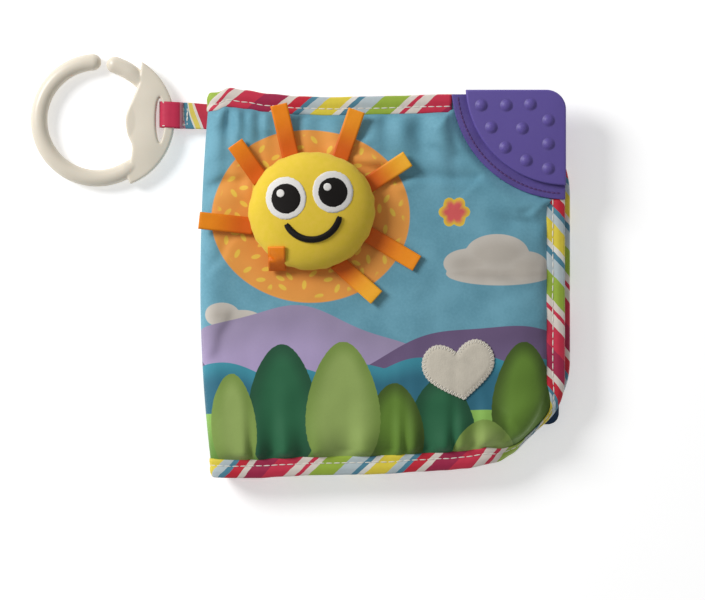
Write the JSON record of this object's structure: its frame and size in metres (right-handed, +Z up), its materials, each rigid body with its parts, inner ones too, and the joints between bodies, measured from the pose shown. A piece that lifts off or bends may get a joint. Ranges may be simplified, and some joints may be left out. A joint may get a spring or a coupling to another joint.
{
  "type": "cloth book",
  "caption": "Soft square cloth book with padded covers, bound pages, corner teether, raised pad with ribbon rays, and a clip ring on a strap.",
  "frame": {"origin": "on the flat underside of the back cover, half way along the spine direction and 75 mm from the spine", "axes": "+X from the spine to the open edge, +Y up the page, +Z up from the table through the closed book"},
  "size_m": [0.2226, 0.174, 0.0346],
  "materials": {
    "printed_cloth": "printed satin-weave polyester, soft sheen",
    "page_cloth": "plain woven polyester",
    "navy_cloth": "plain woven polyester",
    "binding_tape": "striped woven bias tape, slight sheen",
    "strap_webbing": "striped woven tape folded double",
    "wadding": "polyester fibre wadding",
    "crinkle_film": "thin crackling film",
    "sun_plush": "short-pile plush",
    "satin_ribbon": "satin ribbon, glossy",
    "patch_cloth": "brushed felt-like cloth, zigzag edge",
    "teether_silicone": "satin silicone",
    "squeaker_plastic": "soft blown plastic",
    "ring_plastic": "moulded plastic, satin gloss"
  },
  "bodies": {
    "back_cover": {"back_cover_cloth": "printed_cloth", "back_cover_wadding": "wadding", "back_cover_lining": "page_cloth", "back_cover_binding": "binding_tape"},
    "small_page": {"small_page_front_cloth": "navy_cloth", "small_page_crinkle_film": "crinkle_film", "small_page_back_cloth": "navy_cloth"},
    "inner_page": {"inner_page_front_cloth": "page_cloth", "inner_page_wadding": "wadding", "inner_page_back_cloth": "page_cloth", "inner_page_binding": "binding_tape"},
    "front_cover": {"front_cover_cloth": "printed_cloth", "front_cover_wadding": "wadding", "front_cover_lining": "page_cloth", "front_cover_side_binding": "binding_tape", "front_cover_top_binding": "binding_tape", "corner_teether": "teether_silicone", "sun_pad_plush": "sun_plush", "sun_pad_backing": "sun_plush", "sun_pad_stuffing": "wadding", "squeaker": "squeaker_plastic", "ribbon_ray_1": "satin_ribbon", "ribbon_ray_2": "satin_ribbon", "ribbon_ray_3": "satin_ribbon", "ribbon_ray_4": "satin_ribbon", "ribbon_ray_5": "satin_ribbon", "ribbon_ray_6": "satin_ribbon", "ribbon_ray_7": "satin_ribbon", "ribbon_ray_8": "satin_ribbon", "heart_patch": "patch_cloth"},
    "strap": {"ring_strap": "strap_webbing"},
    "clip": {"clip_ring": "ring_plastic"}
  },
  "joints": [
    {"name": "front_cover_fold", "type": "hinge", "parent": "back_cover", "child": "front_cover", "pos_m": [-0.075, 0, 0.0136], "axis": [0, -1, 0], "range_deg": [0, 160]},
    {"name": "inner_page_fold", "type": "hinge", "parent": "back_cover", "child": "inner_page", "pos_m": [-0.0726, 0, 0.0111], "axis": [0, -1, 0], "range_deg": [0, 96]},
    {"name": "small_page_fold", "type": "hinge", "parent": "back_cover", "child": "small_page", "pos_m": [-0.0716, 0, 0.00595], "axis": [0, -1, 0], "range_deg": [0, 48]},
    {"name": "strap_swing", "type": "hinge", "parent": "back_cover", "child": "strap", "pos_m": [-0.07383, 0.06975, 0.0044], "axis": [0, -1, 0], "range_deg": [0, 90]},
    {"name": "ring_swing", "type": "hinge", "parent": "strap", "child": "clip", "pos_m": [-0.089, 0.06975, 0.0035], "axis": [0, -1, 0], "range_deg": [0, 90]}
  ],
  "couplings": [
    {"joint": "inner_page_fold", "follows": "front_cover_fold", "ratio": 0.6},
    {"joint": "small_page_fold", "follows": "front_cover_fold", "ratio": 0.3}
  ]
}
